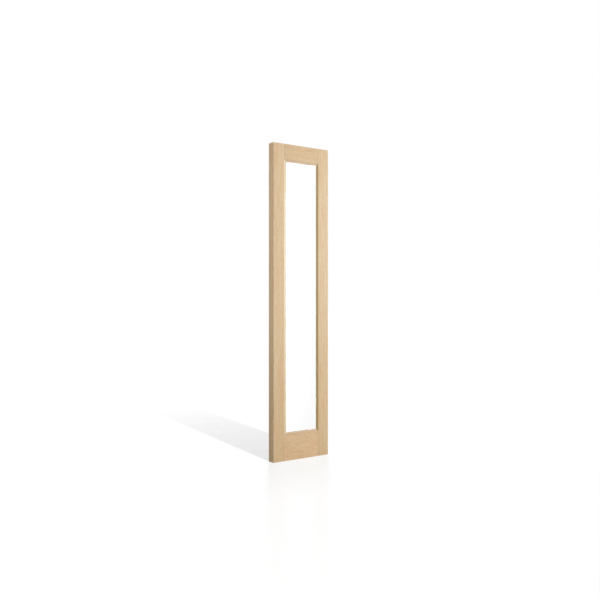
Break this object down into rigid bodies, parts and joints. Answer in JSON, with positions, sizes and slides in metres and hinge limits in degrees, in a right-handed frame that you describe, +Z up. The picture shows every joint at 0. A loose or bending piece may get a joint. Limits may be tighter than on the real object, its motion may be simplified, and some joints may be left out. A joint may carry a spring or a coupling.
{
  "type": "sidelight",
  "caption": "Narrow full-height wood sidelight: coped stiles and rails with a sloped moulding round a tall etched sealed-glass unit, held by mitred beads at the back.",
  "frame": {"origin": "middle of the slab's foot", "axes": "+X to the right of someone facing the front, +Y through the slab from front to back, +Z up"},
  "size_m": [0.4572, 0.0572, 2.1336],
  "materials": {
    "face_wood": "sanded, unfinished straight-grained softwood",
    "dowel_wood": "bare hardwood",
    "etched_glass": "satin etched",
    "spacer_metal": "mill",
    "key_plastic": "moulded",
    "edge_seal": "cured sealant",
    "glazing_tape": "foam tape",
    "packer_rubber": "moulded"
  },
  "bodies": {
    "root": {"bottom_bead": "face_wood", "bottom_edge_seal": "edge_seal", "bottom_left_dowels": "dowel_wood", "bottom_rail": "face_wood", "bottom_right_dowels": "dowel_wood", "bottom_spacer": "spacer_metal", "front_tape_bottom": "glazing_tape", "front_tape_left": "glazing_tape", "front_tape_right": "glazing_tape", "front_tape_top": "glazing_tape", "inner_pane": "etched_glass", "left_bead": "face_wood", "left_edge_seal": "edge_seal", "left_spacer": "spacer_metal", "left_stile": "face_wood", "outer_pane": "etched_glass", "rear_tape_bottom": "glazing_tape", "rear_tape_left": "glazing_tape", "rear_tape_right": "glazing_tape", "rear_tape_top": "glazing_tape", "right_bead": "face_wood", "right_edge_seal": "edge_seal", "right_spacer": "spacer_metal", "right_stile": "face_wood", "setting_blocks": "packer_rubber", "side_packers": "packer_rubber", "spacer_corner_keys": "key_plastic", "top_bead": "face_wood", "top_edge_seal": "edge_seal", "top_left_dowels": "dowel_wood", "top_rail": "face_wood", "top_right_dowels": "dowel_wood", "top_spacer": "spacer_metal"}
  },
  "joints": []
}
